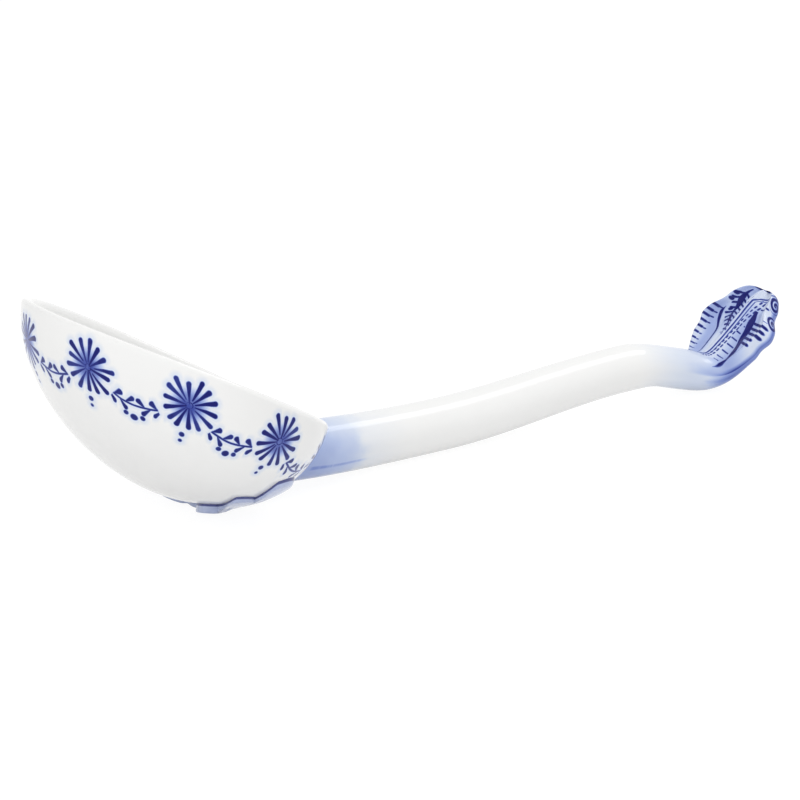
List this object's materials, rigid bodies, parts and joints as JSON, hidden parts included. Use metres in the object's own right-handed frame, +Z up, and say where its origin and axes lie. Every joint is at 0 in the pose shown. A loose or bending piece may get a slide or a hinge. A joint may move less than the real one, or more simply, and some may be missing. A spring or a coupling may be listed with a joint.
{
  "type": "sauce ladle",
  "caption": "Small porcelain sauce ladle with a round tilted bowl, an S-curved stem, a fluted scroll-shell terminal and a lobed leaf under the bowl, for serving sauce.",
  "frame": {"origin": "middle of the ladle's length on the table that it lies on", "axes": "+X from the bowl's front to the terminal, +Z up from the table, Y = 0 the mirror plane"},
  "size_m": [0.1888, 0.068, 0.0485],
  "materials": {
    "bowl_glaze": "white porcelain with cobalt blue painting under a clear gloss glaze",
    "stem_glaze": "white porcelain with a pale blue wash at both ends under a clear gloss glaze",
    "shell_glaze": "porcelain with a blue wash and cobalt blue lines under a clear gloss glaze",
    "leaf_glaze": "porcelain with a pale blue wash and a dark edge line under a clear gloss glaze",
    "glazed_slip": "fired slip under a clear gloss glaze",
    "fired_slip": "fired slip inside the joint"
  },
  "bodies": {
    "root": {"bowl": "bowl_glaze", "handle_stem": "stem_glaze", "shell_terminal": "shell_glaze", "leaf_mount": "leaf_glaze", "stem_joint_slip": "glazed_slip", "leaf_joint_slip": "fired_slip", "neck_joint_slip": "fired_slip"}
  },
  "joints": []
}
